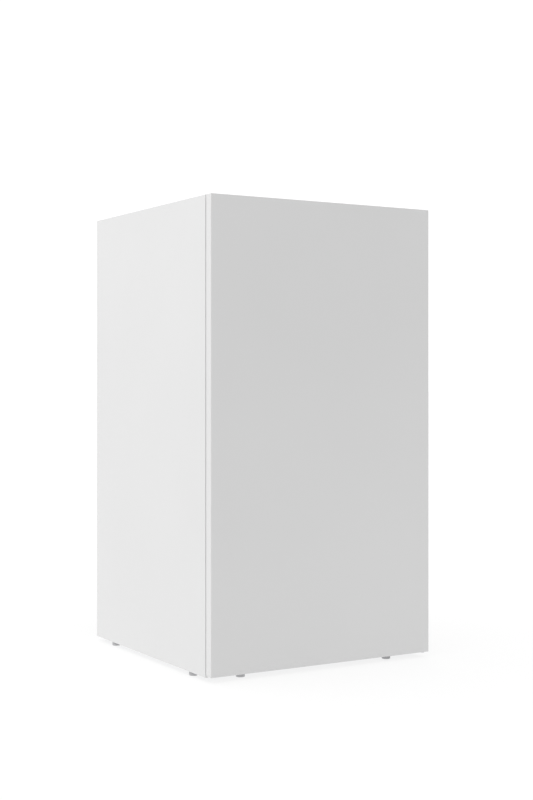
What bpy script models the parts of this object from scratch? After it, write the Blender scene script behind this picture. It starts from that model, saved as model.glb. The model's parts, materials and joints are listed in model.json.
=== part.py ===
"""Table-top refrigerator with one plain door, modelled piece by piece.

Lengths are in millimetres in this script and become metres in Blender. +X is
to the right of someone facing the door, -Y points out of the door, +Z is up.
The origin is on the floor under the middle of the cabinet and door.
"""
import math

import bmesh
import bpy
from mathutils import Matrix, Vector

MM = 0.001
GAP = 0.3
PAST = 20.0

# Cabinet
HALF = 235.0
HEIGHT = 850.0
BASE = 8.0
FRONT = -222.5
BACK = 243.0
SKIN = 1.0
SHEET = 1.5
INNER = HALF - SKIN - GAP
MOUTH = 217.0
MOUTH_TOP = 832.0
FOAM_BACK = 205.0

# Food compartment, measured on its inner faces
ROOM = 200.0
FLOOR = 58.0
CEILING = 815.0
REAR_WALL = 167.0
HUMP_FRONT = 43.0
HUMP_TOP = 210.0
ROOM_RADIUS = 12.0
CRISPER_LEVEL = 292.0
LOWER_LEVEL = 412.0
SPARE_LEVEL = 480.0
UPPER_LEVEL = 548.0
DRIP_LEVEL = 686.0
RIB_TOPS = (CRISPER_LEVEL, LOWER_LEVEL, SPARE_LEVEL, UPPER_LEVEL, DRIP_LEVEL)
RIB_HEIGHT = 6.0
RIB_REACH = 8.0
RIB_RUN = (-140.0, 160.0)
GLASS_HALF = 197.0
GLASS_THICK = 4.0

# Machine bay and back; the ports are the suction and discharge stubs' heights and the latter's offset
BAY_FRONT = 73.0
BAY_TOP = 178.0
PAN = 1.5
GLAND = (-150.0, 25.0)
DRAIN = (60.0, 150.0)
DRAIN_BORE = 4.0
DRAIN_ROOM = 7.0
COMPRESSOR = (60.0, 158.0)
SUCTION_PORT = 80.0
DISCHARGE_PORT = 70.0
PORT_OFFSET = 32.0
COIL_PLANE = 226.0
COIL_PIPE = 2.4
COIL_TOP = 770.0
COIL_PITCH = 45.0
COIL_PASSES = 13
COIL_HALF = 150.0
COIL_END = 180.0
COIL_LOW = COIL_TOP - COIL_PITCH * (COIL_PASSES - 1)
SUCTION_X = 212.0
SUCTION_TOP = 700.0
DISCHARGE_X = 195.0
DRIER_X = -195.0
DRIER_TOP = 205.0

# Door
DOOR_FRONT = -243.0
DOOR_REAR = -225.0
DOOR_BOTTOM = 11.0
CAP_BOTTOM_TOP = 35.0
CAP_TOP_BOTTOM = 832.0
CAP_WALL = 3.0
PLUG = 197.0
PLUG_FACE = -195.0
PLUG_LOW = 61.0
PLUG_HIGH = 812.0
PLUG_RADIUS = 10.0
REBATE = -233.0
WING_FACE = 172.0
WING_THICK = 16.0
WING_FRONT = -150.0
WING_SPAN = (75.0, 696.0)
GASKET_IN = 204.0
GASKET_OUT = 216.0
GASKET_LOW = 40.0
GASKET_HIGH = 828.0

# Door racks: name, bottom, top and front; they hang on ears that stand on the wings' ledges
RACK = 164.0
EAR_DROP = 12.0
RACKS = [
    ("rack_bottle", 80.0, 170.0, -100.0),
    ("rack_middle", 330.0, 388.0, -120.0),
    ("rack_top", 562.0, 620.0, -120.0),
]

# Hinges: one vertical axis near the right edge
HINGE_X = 229.1
HINGE_Y = -231.0
PIN = 2.5
TONGUE = 3.8
PIN_BORE = 3.9
TOP_PLATE = (845.0, 848.0)
BOTTOM_PLATE = (8.0, 10.4)
PLATE_LEFT = 190.0
PLATE_REAR = -168.0
PLATE_ROOM = 0.5

# Frozen-food box
ICE_BOX = 185.0
ICE_FRONT = -95.0
ICE_LOW = 703.0
ICE_HIGH = 813.0
FLAP_X = 184.0
FLAP_Y = -105.0
FLAP_LOW = 706.0
FLAP_HIGH = 793.5

# Thermostat dial, lamp and light switch
HOUSING_FACE = 164.0
DIAL_Y = -25.0
DIAL_Z = 628.0
DIAL_TIP = 150.0
SHAFT = 4.0
LAMP = (181.0, 52.0, 628.0)
LAMP_POCKET_Y = (18.0, 86.0)
LAMP_POCKET_Z = (603.0, 655.0)
SWITCH_X = 150.0
SWITCH_Z = 805.0
BUTTON = 4.0

# Feet: name, x, y and the top of the stud
FOOT_RADIUS = 8.0
SIDE_FOOT_X = 224.4
END_FOOT_X = 158.5
FEET = [
    (f"foot_{name}_{side}", sign * x, y, stud)
    for name, x, y, stud in (
        ("front", END_FOOT_X, -211.0, 34.0),
        ("side_front", SIDE_FOOT_X, -157.5, 16.0),
        ("side_rear", SIDE_FOOT_X, 172.0, 16.0),
        ("rear", END_FOOT_X, 229.0, 16.0),
    )
    for side, sign in (("left", -1), ("right", 1))
]
GROMMETS = [
    (f"compressor_grommet_{depth}_{side}", COMPRESSOR[0] + sx * 88.0, COMPRESSOR[1] + sy * 50.0)
    for depth, sy in (("front", -1), ("rear", 1))
    for side, sx in (("left", -1), ("right", 1))
]

# Finish: colour, roughness, metallic
WHITE_PAINT = ((0.80, 0.80, 0.80), 0.38, 0.0)
WHITE_PLASTIC = ((0.78, 0.78, 0.77), 0.42, 0.0)
CLEAR_PLASTIC = ((0.75, 0.80, 0.82), 0.20, 0.0)
GLASS = ((0.72, 0.82, 0.80), 0.05, 0.0)
ZINC = ((0.55, 0.56, 0.58), 0.35, 1.0)
ALUMINIUM = ((0.72, 0.73, 0.74), 0.32, 1.0)
COPPER = ((0.64, 0.32, 0.19), 0.35, 1.0)
BLACK_PAINT = ((0.02, 0.02, 0.022), 0.40, 0.0)
BLACK_PLASTIC = ((0.03, 0.03, 0.03), 0.55, 0.0)
GREY_PLASTIC = ((0.34, 0.34, 0.34), 0.55, 0.0)
RUBBER = ((0.60, 0.60, 0.59), 0.70, 0.0)
FOAM = ((0.80, 0.72, 0.50), 0.90, 0.0)
LAMP_GLASS = ((0.95, 0.93, 0.85), 0.15, 0.0)


# ---------------------------------------------------------------- scaffolding

def clear_scene():
    for obj in list(bpy.data.objects):
        bpy.data.objects.remove(obj)


def new_collection(name):
    collection = bpy.data.collections.new(name)
    bpy.context.scene.collection.children.link(collection)
    return collection


def finish(obj, look):
    """Give a piece its own Principled material."""
    colour, roughness, metallic = look
    material = bpy.data.materials.new(obj.name)
    material.use_nodes = True
    shader = material.node_tree.nodes["Principled BSDF"]
    shader.inputs["Base Color"].default_value = (*colour, 1.0)
    shader.inputs["Roughness"].default_value = roughness
    shader.inputs["Metallic"].default_value = metallic
    obj.data.materials.append(material)
    return obj


def as_tool(obj):
    """Move an object to the cutters, out of the model itself."""
    for collection in list(obj.users_collection):
        collection.objects.unlink(obj)
    TOOLS.objects.link(obj)
    obj.hide_render = True
    obj.display_type = "WIRE"
    return obj


def combine(target, tool, operation):
    modifier = target.modifiers.new(tool.name, "BOOLEAN")
    modifier.operation = operation
    modifier.solver = "EXACT"
    modifier.object = as_tool(tool)


def cut(target, *tools):
    for tool in tools:
        combine(target, tool, "DIFFERENCE")


def join(target, *tools):
    for tool in tools:
        combine(target, tool, "UNION")


def carry(name, location, pieces):
    """Parent pieces to an empty on their joint's axis, without moving them."""
    empty = bpy.data.objects.new(name, None)
    empty.location = Vector(location) * MM
    PIECES.objects.link(empty)
    for piece in pieces:
        piece.parent = empty
        piece.location = piece.location - empty.location
    return empty


# --------------------------------------------------------------- basic shapes

def from_bmesh(name, mesh_data, origin=(0.0, 0.0, 0.0), round_piece=False):
    """Make an object of a bmesh drawn in world millimetres, with a chosen origin."""
    bmesh.ops.translate(mesh_data, verts=mesh_data.verts, vec=-Vector(origin))
    bmesh.ops.scale(mesh_data, verts=mesh_data.verts, vec=(MM, MM, MM))
    mesh = bpy.data.meshes.new(name)
    mesh_data.to_mesh(mesh)
    mesh_data.free()
    if round_piece:
        mesh.shade_smooth()
        mesh.set_sharp_from_angle(angle=math.radians(35.0))
    obj = bpy.data.objects.new(name, mesh)
    obj.location = Vector(origin) * MM
    PIECES.objects.link(obj)
    return obj


def add_box(mesh_data, x, y, z):
    low = Vector((x[0], y[0], z[0]))
    high = Vector((x[1], y[1], z[1]))
    place = Matrix.Translation((low + high) / 2.0) @ Matrix.Diagonal((*(high - low), 1.0))
    return bmesh.ops.create_cube(mesh_data, size=1.0, matrix=place)["verts"]


def box(name, x, y, z, origin=(0.0, 0.0, 0.0)):
    mesh_data = bmesh.new()
    add_box(mesh_data, x, y, z)
    return from_bmesh(name, mesh_data, origin)


def boxes(name, sides, origin=(0.0, 0.0, 0.0)):
    """Several separate boxes in one mesh, as one tool."""
    mesh_data = bmesh.new()
    for x, y, z in sides:
        add_box(mesh_data, x, y, z)
    return from_bmesh(name, mesh_data, origin)


def rounded_box(name, x, y, z, radius, axis, segments=3, origin=(0.0, 0.0, 0.0)):
    """A box whose four edges along one axis are rounded."""
    mesh_data = bmesh.new()
    add_box(mesh_data, x, y, z)
    along = [
        edge for edge in mesh_data.edges
        if abs((edge.verts[0].co - edge.verts[1].co).normalized()[axis]) > 0.99
    ]
    bmesh.ops.bevel(mesh_data, geom=along, offset=radius, segments=segments, profile=0.5, affect="EDGES")
    return from_bmesh(name, mesh_data, origin)


def turn_to(axis):
    """Rotation that lays the Z axis along X, Y or Z."""
    return {
        "X": Matrix.Rotation(math.radians(90.0), 4, "Y"),
        "Y": Matrix.Rotation(math.radians(-90.0), 4, "X"),
        "Z": Matrix.Identity(4),
    }[axis]


def cylinders(name, places, radius, span, axis="Z", segments=24, origin=(0.0, 0.0, 0.0)):
    """Round bars of one radius along an axis, spanning low to high on it."""
    mesh_data = bmesh.new()
    for place in places:
        centre = list(place)
        centre.insert("XYZ".index(axis), (span[0] + span[1]) / 2.0)
        bmesh.ops.create_cone(
            mesh_data, cap_ends=True, segments=segments, radius1=radius, radius2=radius,
            depth=span[1] - span[0], matrix=Matrix.Translation(centre) @ turn_to(axis))
    return from_bmesh(name, mesh_data, origin, round_piece=True)


def turned(name, profile, place, axis="Z", steps=24):
    """Turn a profile of (radius, height) points, given top to bottom on its outer side."""
    mesh_data = bmesh.new()
    points = [mesh_data.verts.new((radius * MM, 0.0, height * MM)) for radius, height in profile]
    pairs = list(zip(points, points[1:]))
    if profile[0][0] > 0.0:
        pairs.append((points[-1], points[0]))
    for pair in pairs:
        mesh_data.edges.new(pair)
    mesh = bpy.data.meshes.new(name)
    mesh_data.to_mesh(mesh)
    mesh_data.free()
    obj = bpy.data.objects.new(name, mesh)
    obj.location = Vector(place) * MM
    obj.rotation_euler = turn_to(axis).to_euler()
    PIECES.objects.link(obj)
    screw = obj.modifiers.new("Turn", "SCREW")
    screw.steps = steps
    screw.render_steps = steps
    screw.use_merge_vertices = True
    screw.merge_threshold = 0.00001
    return obj


def outline_solid(name, points, span, along="Z"):
    """Extrude a closed flat outline: (x, y) points along Z, or (y, z) points along X."""
    curve = bpy.data.curves.new(name, "CURVE")
    curve.dimensions = "2D"
    curve.fill_mode = "BOTH"
    curve.extrude = (span[1] - span[0]) / 2.0 * MM
    spline = curve.splines.new("POLY")
    spline.points.add(len(points) - 1)
    for point, (first, second) in zip(spline.points, points):
        point.co = (first * MM, second * MM, 0.0, 1.0)
    spline.use_cyclic_u = True
    flat = bpy.data.objects.new(name, curve)
    bpy.context.scene.collection.objects.link(flat)
    turn = Matrix(((0, 0, 1, 0), (1, 0, 0, 0), (0, 1, 0, 0), (0, 0, 0, 1)))
    middle = (span[0] + span[1]) / 2.0 * MM
    flat.matrix_world = Matrix.Translation((0, 0, middle)) if along == "Z" else (
        Matrix.Translation((middle, 0, 0)) @ turn)
    return curve_to_mesh(flat)


def curve_to_mesh(source):
    """Replace a curve object by a welded mesh object in the same place."""
    bpy.context.view_layer.update()
    evaluated = source.evaluated_get(bpy.context.evaluated_depsgraph_get())
    mesh = bpy.data.meshes.new_from_object(evaluated)
    mesh_data = bmesh.new()
    mesh_data.from_mesh(mesh)
    bmesh.ops.remove_doubles(mesh_data, verts=mesh_data.verts, dist=0.000005)
    mesh_data.to_mesh(mesh)
    mesh_data.free()
    name = source.name
    place = source.matrix_world.copy()
    bpy.data.objects.remove(source)
    obj = bpy.data.objects.new(name, mesh)
    obj.matrix_world = place
    PIECES.objects.link(obj)
    return obj


def tube(name, route, radius):
    """A round pipe through a list of points."""
    curve = bpy.data.curves.new(name, "CURVE")
    curve.dimensions = "3D"
    curve.bevel_depth = radius * MM
    curve.bevel_resolution = 2
    curve.use_fill_caps = True
    spline = curve.splines.new("POLY")
    spline.points.add(len(route) - 1)
    for point, place in zip(spline.points, route):
        point.co = (*(Vector(place) * MM), 1.0)
    obj = bpy.data.objects.new(name, curve)
    PIECES.objects.link(obj)
    return obj


def with_bends(corners, radius, steps=4):
    """Round the inner corners of a route with arcs."""
    corners = [Vector(corner) for corner in corners]
    route = [corners[0]]
    for before, corner, after in zip(corners, corners[1:], corners[2:]):
        back = (before - corner).normalized()
        ahead = (after - corner).normalized()
        half = back.angle(ahead) / 2.0
        reach = radius / math.tan(half)
        centre = corner + (back + ahead).normalized() * (radius / math.sin(half))
        start = corner + back * reach - centre
        end = corner + ahead * reach - centre
        route += [centre + start.slerp(end, step / steps) * radius for step in range(steps + 1)]
    return route + [corners[-1]]


# -------------------------------------------------------------------- cabinet

def cabinet_shell():
    shell = box("cabinet_shell", (-HALF, HALF), (FRONT, BACK), (BASE, HEIGHT))
    inside = box("cut_shell_inside", (-HALF + SKIN, HALF - SKIN), (FRONT + SKIN, BACK + PAST),
                 (BASE - PAST, HEIGHT - SKIN))
    mouth = box("cut_shell_mouth", (-MOUTH, MOUTH), (FRONT - PAST, FRONT + 5.0),
                (BASE - 2.0 * PAST, MOUTH_TOP))
    tongue_slots = boxes("cut_shell_tongues", [
        ((HINGE_X - TONGUE - PLATE_ROOM, HINGE_X + TONGUE + PLATE_ROOM), (FRONT - PAST, FRONT + 5.0), z)
        for z in ((TOP_PLATE[0] - PLATE_ROOM, TOP_PLATE[1] + PLATE_ROOM),
                  (BASE - PAST, BOTTOM_PLATE[1] + PLATE_ROOM))
    ])
    cut(shell, inside, mouth, tongue_slots)
    return finish(shell, WHITE_PAINT)


def room_outline(outward, front):
    """Side outline of the food compartment, with the hump over the machine bay."""
    return [
        (front, FLOOR - outward),
        (HUMP_FRONT + outward, FLOOR - outward),
        (HUMP_FRONT + outward, HUMP_TOP - outward),
        (REAR_WALL + outward, HUMP_TOP - outward),
        (REAR_WALL + outward, CEILING + outward),
        (front, CEILING + outward),
    ]


def room_cavity(name):
    """The space inside the liner, with rounded edges from front to back."""
    cavity = outline_solid(name, room_outline(0.0, FRONT - PAST), (-ROOM, ROOM), along="X")
    mesh_data = bmesh.new()
    mesh_data.from_mesh(cavity.data)
    bmesh.ops.dissolve_limit(
        mesh_data, angle_limit=math.radians(1.0), verts=mesh_data.verts, edges=mesh_data.edges)
    front_to_back = [
        edge for edge in mesh_data.edges
        if abs((edge.verts[0].co - edge.verts[1].co).normalized()[0]) > 0.99
        and edge.calc_face_angle() > 1.0
    ]
    bmesh.ops.bevel(mesh_data, geom=front_to_back, offset=ROOM_RADIUS * MM, segments=3,
                    profile=0.5, affect="EDGES")
    mesh_data.to_mesh(cavity.data)
    mesh_data.free()
    return cavity


def inner_liner():
    shape = outline_solid("inner_liner", room_outline(SHEET, FRONT),
                          (-ROOM - SHEET, ROOM + SHEET), along="X")
    flange = box("join_liner_flange", (-MOUTH + GAP, MOUTH - GAP), (FRONT, FRONT + SHEET),
                 (FLOOR - 15.0, MOUTH_TOP - GAP))
    join(shape, flange)
    nozzle = cylinders("join_liner_nozzle", [DRAIN], DRAIN_BORE + 2.0, (BAY_TOP - 12.0, HUMP_TOP - 0.5))
    join(shape, nozzle)
    cut(shape, room_cavity("cut_liner_room"))
    cut(shape, cylinders("cut_liner_drain", [DRAIN], DRAIN_BORE, (BAY_TOP - PAST, HUMP_TOP + 5.0)))
    ribs = boxes("join_liner_ribs", [
        (x, RIB_RUN, (top - RIB_HEIGHT, top))
        for top in RIB_TOPS
        for x in ((-ROOM - 0.8, -ROOM + RIB_REACH), (ROOM - RIB_REACH, ROOM + 0.8))
    ])
    join(shape, ribs)
    return finish(shape, WHITE_PLASTIC)


def plate_room(heights):
    """Sides of the space kept round a hinge plate between two heights."""
    return (PLATE_LEFT - PLATE_ROOM, HALF + PAST), (FRONT - PAST, PLATE_REAR + PLATE_ROOM), heights


def foam_block():
    foam = box("foam_block", (-INNER, INNER), (FRONT + SHEET + GAP, FOAM_BACK),
               (BASE + PAN + GAP, HEIGHT - SKIN - GAP))
    room = outline_solid("cut_foam_room", room_outline(SHEET + GAP, FRONT - PAST),
                         (-ROOM - SHEET - GAP, ROOM + SHEET + GAP), along="X")
    bay = box("cut_foam_bay", (-HALF - PAST, HALF + PAST), (BAY_FRONT, BACK), (BASE - PAST, BAY_TOP))
    cut(foam, room, bay)
    plates = boxes("cut_foam_hinge_plates", [
        plate_room((TOP_PLATE[0] - PLATE_ROOM, HEIGHT + PAST)),
        plate_room((BASE - PAST, BOTTOM_PLATE[1] + PLATE_ROOM)),
    ])
    drain = cylinders("cut_foam_drain", [DRAIN], DRAIN_ROOM, (BAY_TOP - 5.0, HUMP_TOP + 5.0))
    cut(foam, plates, drain)
    front_feet = [(x, y) for _, x, y, _ in FEET if y < BAY_FRONT]
    stud_top = max(stud for *_, stud in FEET) + 2.0
    cut(foam, cylinders("cut_foam_studs", front_feet, 4.5, (BASE - PAST, stud_top), segments=12))
    return finish(foam, FOAM)


def back_panel():
    panel = box("back_panel", (-INNER, INNER), (FOAM_BACK + GAP, FOAM_BACK + GAP + SKIN),
                (BAY_TOP, HEIGHT - SKIN - GAP))
    return finish(panel, ZINC)


def machine_bay_plate():
    top = BAY_TOP - GAP
    front = BAY_FRONT + GAP
    plate = outline_solid("machine_bay_plate", [
        (front, BASE + PAN + GAP), (front + SKIN, BASE + PAN + GAP), (front + SKIN, top - SKIN),
        (FOAM_BACK, top - SKIN), (FOAM_BACK, top), (front, top),
    ], (-INNER, INNER), along="X")
    cut(plate, cylinders("cut_plate_drain", [DRAIN], DRAIN_ROOM, (BAY_TOP - PAST, BAY_TOP + 5.0)))
    return finish(plate, ZINC)


def base_pan():
    pan = box("base_pan", (-INNER, INNER), (FRONT + SKIN + GAP, BACK - 2.5), (BASE, BASE + PAN))
    kick = box("join_pan_kick", (-MOUTH + GAP, MOUTH - GAP), (FRONT, FRONT + SHEET),
               (BASE, FLOOR - 15.0 - GAP))
    join(pan, kick)
    studs = cylinders("cut_pan_studs", [(x, y) for _, x, y, _ in FEET], 3.3,
                      (BASE - PAST, BASE + PAST), segments=16)
    plate = box("cut_pan_hinge_plate", *plate_room((BASE - PAST, BOTTOM_PLATE[1] + PLATE_ROOM)))
    vent_length, vent_width = 60.0, 5.0
    vents = boxes("cut_pan_vents", [
        ((x, x + vent_length), (y, y + vent_width), (BASE - PAST, BASE + PAST))
        for x in (-200.0, -125.0) for y in range(110, 200, 15)
    ])
    cut(pan, studs, plate, vents)
    return finish(pan, ZINC)


def rear_crossbar():
    bar = box("rear_crossbar", (-INNER, INNER), (BACK - 2.0, BACK), (BASE + PAN + GAP, 40.0))
    cut(bar, cylinders("cut_bar_gland", [GLAND], 7.1, (BACK - PAST, BACK + PAST), axis="Y"))
    return finish(bar, ZINC)


def cable_gland():
    gland = turned("cable_gland", [
        (3.6, 0.0), (6.6, 0.0), (6.6, -2.4), (9.5, -2.4), (9.5, -6.0), (5.6, -12.0), (3.6, -12.0),
    ], (GLAND[0], BACK, GLAND[1]), axis="Y")
    return finish(gland, BLACK_PLASTIC)


def feet():
    stud_radius = 2.9
    for name, x, y, stud in FEET:
        foot = turned(name, [
            (0.0, stud), (stud_radius, stud), (stud_radius, BASE - GAP), (FOOT_RADIUS, BASE - GAP),
            (FOOT_RADIUS, 1.0), (FOOT_RADIUS - 0.8, 0.0), (0.0, 0.0),
        ], (x, y, 0.0), steps=20)
        finish(foot, GREY_PLASTIC)


# --------------------------------------------------------------------- hinges

def hinge(name, plate, pin_span):
    """A plate let into the cabinet, with a rounded tongue that carries the door's pin."""
    shape = box(name, (PLATE_LEFT, INNER - 0.4), (FRONT + SKIN + GAP, PLATE_REAR), plate)
    tongue = box(f"join_{name}_tongue", (HINGE_X - TONGUE, HINGE_X + TONGUE),
                 (HINGE_Y, FRONT + 3.0), plate)
    tip = cylinders(f"join_{name}_tip", [(HINGE_X, HINGE_Y)], TONGUE, plate)
    pin = cylinders(f"join_{name}_pin", [(HINGE_X, HINGE_Y)], PIN, pin_span)
    join(shape, tongue, tip, pin)
    return finish(shape, ZINC)


def hinge_bush(name, span):
    inner, outer = PIN + 0.1, PIN_BORE - GAP
    ring = turned(name, [
        (inner, span[1]), (outer, span[1]), (outer, span[0]), (inner, span[0]),
    ], (HINGE_X, HINGE_Y, 0.0))
    return finish(ring, BLACK_PLASTIC)


def hinges():
    hinge("top_hinge", TOP_PLATE, (835.0, TOP_PLATE[0] + 1.0))
    hinge("bottom_hinge", BOTTOM_PLATE, (BOTTOM_PLATE[1] - 1.0, 24.0))


# ----------------------------------------------------------------------- door

def door_panel():
    fold = 0.4
    swing_clearance = 0.8
    outline = [
        (-HALF, DOOR_REAR), (-HALF, DOOR_FRONT + fold), (-HALF + fold, DOOR_FRONT),
        (HALF - fold, DOOR_FRONT), (HALF, DOOR_FRONT + fold), (HALF, DOOR_REAR - swing_clearance),
        (HALF - swing_clearance, DOOR_REAR), (HALF - SKIN, DOOR_REAR),
        (HALF - SKIN, DOOR_FRONT + SKIN), (-HALF + SKIN, DOOR_FRONT + SKIN), (-HALF + SKIN, DOOR_REAR),
    ]
    panel = outline_solid("door_panel", outline, (DOOR_BOTTOM, HEIGHT))
    slot = box("cut_panel_tongue", (HINGE_X - 5.0, HALF + PAST), (DOOR_FRONT + 1.5, DOOR_REAR + PAST),
               (TOP_PLATE[0] - GAP, TOP_PLATE[1] + GAP))
    cut(panel, slot)
    return finish(panel, WHITE_PAINT)


def door_foam():
    foam = box("door_foam", (-INNER, INNER), (DOOR_FRONT + SKIN + GAP, REBATE - SHEET - GAP),
               (CAP_BOTTOM_TOP + GAP, CAP_TOP_BOTTOM - GAP))
    inset = SHEET + GAP
    plug = rounded_box("join_foam_plug", (-PLUG + inset, PLUG - inset), (REBATE - 3.0, PLUG_FACE - inset),
                       (PLUG_LOW + inset, PLUG_HIGH - inset), PLUG_RADIUS - inset, axis=1)
    join(foam, plug)
    return finish(foam, FOAM)


def door_liner():
    liner = box("door_liner", (-INNER, INNER), (REBATE - SHEET, DOOR_REAR),
                (CAP_BOTTOM_TOP + GAP, CAP_TOP_BOTTOM - GAP))
    channel_room = 2.0
    channel = box("cut_door_channel", (-GASKET_OUT - channel_room, GASKET_OUT + channel_room),
                  (REBATE, DOOR_REAR + PAST), (GASKET_LOW - channel_room, GASKET_HIGH + channel_room))
    cut(liner, channel)
    plug = rounded_box("join_door_plug", (-PLUG, PLUG), (REBATE - 0.5, PLUG_FACE),
                       (PLUG_LOW, PLUG_HIGH), PLUG_RADIUS, axis=1)
    wings = boxes("join_door_wings", [
        (x, (PLUG_FACE - 1.0, WING_FRONT), WING_SPAN)
        for x in ((-WING_FACE - WING_THICK, -WING_FACE), (WING_FACE, WING_FACE + WING_THICK))
    ])
    join(liner, plug, wings)
    hollow = rounded_box("cut_door_hollow", (-PLUG + SHEET, PLUG - SHEET), (DOOR_FRONT, PLUG_FACE - SHEET),
                         (PLUG_LOW + SHEET, PLUG_HIGH - SHEET), PLUG_RADIUS - SHEET, axis=1)
    cut(liner, hollow)
    ledge_front, tooth_thick = -156.0, 3.0
    ledges = []
    teeth = []
    for _, _, high, _ in RACKS:
        rest = high - EAR_DROP
        for across in ((-WING_FACE - 1.0, -RACK - 0.6), (RACK + 0.6, WING_FACE + 1.0)):
            ledges.append((across, (PLUG_FACE + 2.0, ledge_front), (rest - 8.0, rest - GAP)))
            teeth.append((across, (ledge_front - 0.5 - tooth_thick, ledge_front - 0.5),
                          (rest - 4.0, rest + 6.0)))
    join(liner, boxes("join_door_ledges", ledges))
    join(liner, boxes("join_door_teeth", teeth))
    return finish(liner, WHITE_PLASTIC)


def door_gasket():
    width = GASKET_OUT - GASKET_IN
    ring = box("door_gasket", (-GASKET_OUT, GASKET_OUT), (REBATE + GAP, FRONT - GAP),
               (GASKET_LOW, GASKET_HIGH))
    cut(ring, box("cut_gasket_middle", (-GASKET_IN, GASKET_IN), (REBATE - PAST, FRONT + PAST),
                  (GASKET_LOW + width, GASKET_HIGH - width)))
    return finish(ring, RUBBER)


def door_top_cap():
    cap = box("door_top_cap", (-INNER, INNER), (DOOR_FRONT + SKIN + GAP, DOOR_REAR),
              (CAP_TOP_BOTTOM, HEIGHT))
    grip = box("cut_cap_grip", (-190.0, -70.0), (DOOR_FRONT + CAP_WALL, DOOR_REAR + PAST),
               (CAP_TOP_BOTTOM + 2.0, HEIGHT + PAST))
    slot = box("cut_cap_tongue", (HINGE_X - 5.0, HALF + PAST), (DOOR_FRONT + 2.4, DOOR_REAR + PAST),
               (TOP_PLATE[0] - GAP, TOP_PLATE[1] + GAP))
    bore = cylinders("cut_cap_top_bore", [(HINGE_X, HINGE_Y)], PIN_BORE, (834.0, TOP_PLATE[0] + 1.0))
    cut(cap, grip, slot, bore)
    return finish(cap, WHITE_PLASTIC)


def door_bottom_cap():
    cap = box("door_bottom_cap", (-INNER, INNER), (DOOR_FRONT + SKIN + GAP, DOOR_REAR),
              (DOOR_BOTTOM, CAP_BOTTOM_TOP))
    cut(cap, cylinders("cut_cap_bottom_bore", [(HINGE_X, HINGE_Y)], PIN_BORE, (BASE - PAST, 26.0)))
    return finish(cap, WHITE_PLASTIC)


def rack(name, low, high, depth):
    """A tray that hangs on the door by two ears and lifts off upwards."""
    wall = 2.0
    rear = PLUG_FACE + 0.5
    place = (0.0, rear, low)
    tray = rounded_box(name, (-RACK, RACK), (rear, depth), (low, high), 8.0, axis=2, origin=place)
    ears = boxes(f"join_{name}_ears", [
        (x, (rear + 1.5, -160.0), (high - EAR_DROP, high - 4.0))
        for x in ((-WING_FACE + 0.5, -RACK + 1.0), (RACK - 1.0, WING_FACE - 0.5))
    ])
    join(tray, ears)
    room = rounded_box(f"cut_{name}_room", (-RACK + wall, RACK - wall), (rear + wall, depth - wall),
                       (low + wall, high + PAST), 6.0, axis=2)
    dip = box(f"cut_{name}_dip", (-RACK + 24.0, RACK - 24.0), (depth - 10.0, depth + PAST),
              (high - 14.0, high + PAST))
    cut(tray, room, dip)
    return finish(tray, CLEAR_PLASTIC)


def door():
    pieces = [door_panel(), door_foam(), door_liner(), door_gasket(), door_top_cap(), door_bottom_cap()]
    pieces.append(hinge_bush("top_hinge_bush", (834.3, TOP_PLATE[0] - 0.6)))
    pieces.append(hinge_bush("bottom_hinge_bush", (DOOR_BOTTOM + GAP, 25.7)))
    pieces += [rack(*data) for data in RACKS]
    carry("door_axis", (HINGE_X, HINGE_Y, 0.0), pieces)


# ----------------------------------------------------------- food compartment

def shelf(name, level):
    """A loose glass shelf on two ribs, with a trim along its front edge."""
    low = level + GAP
    front, rear, wrap = -108.0, 150.0, 3.0
    glass = box(name, (-GLASS_HALF, GLASS_HALF), (front, rear), (low, low + GLASS_THICK))
    finish(glass, GLASS)
    trim = box(f"{name}_trim", (-191.0, 191.0), (front - 8.0, front + 6.0),
               (low - wrap, low + GLASS_THICK + wrap))
    cut(trim, box(f"cut_{name}_trim", (-HALF, HALF), (front - GAP, front + PAST),
                  (low - GAP, low + GLASS_THICK + GAP)))
    finish(trim, WHITE_PLASTIC)


def crisper_cover():
    low = CRISPER_LEVEL + GAP
    cover = box("crisper_cover", (-GLASS_HALF, GLASS_HALF), (-98.0, 160.0), (low, low + GLASS_THICK))
    return finish(cover, GLASS)


def crisper_drawer():
    half, wall = 186.0, 2.5
    front, step, rear = -85.0, 36.0, 160.0
    low, shoulder, high = 59.0, 214.0, 280.0
    drawer = outline_solid("crisper_drawer", [
        (front, low), (step, low), (step, shoulder), (rear, shoulder), (rear, high), (front, high),
    ], (-half, half), along="X")
    lip = outline_solid("join_crisper_lip", [
        (front - 12.0, high - 18.0), (front - 9.5, high - 18.0), (front - 9.5, high - wall),
        (front + 1.0, high - wall), (front + 1.0, high), (front - 12.0, high),
    ], (-90.0, 90.0), along="X")
    join(drawer, lip)
    room = outline_solid("cut_crisper_room", [
        (front + wall, low + wall), (step - wall, low + wall), (step - wall, shoulder + wall),
        (rear - wall, shoulder + wall), (rear - wall, high + PAST), (front + wall, high + PAST),
    ], (-half + wall, half - wall), along="X")
    cut(drawer, room)
    return finish(drawer, CLEAR_PLASTIC)


def evaporator():
    skin, rear, corner = 2.0, 155.0, 10.0
    shape = rounded_box("evaporator", (-ICE_BOX, ICE_BOX), (ICE_FRONT, rear), (ICE_LOW, ICE_HIGH),
                        corner, axis=1)
    room = rounded_box("cut_evaporator_room", (-ICE_BOX + skin, ICE_BOX - skin),
                       (ICE_FRONT - PAST, rear - skin), (ICE_LOW + skin, ICE_HIGH - skin),
                       corner - skin, axis=1)
    cut(shape, room)
    return finish(shape, ALUMINIUM)


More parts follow.
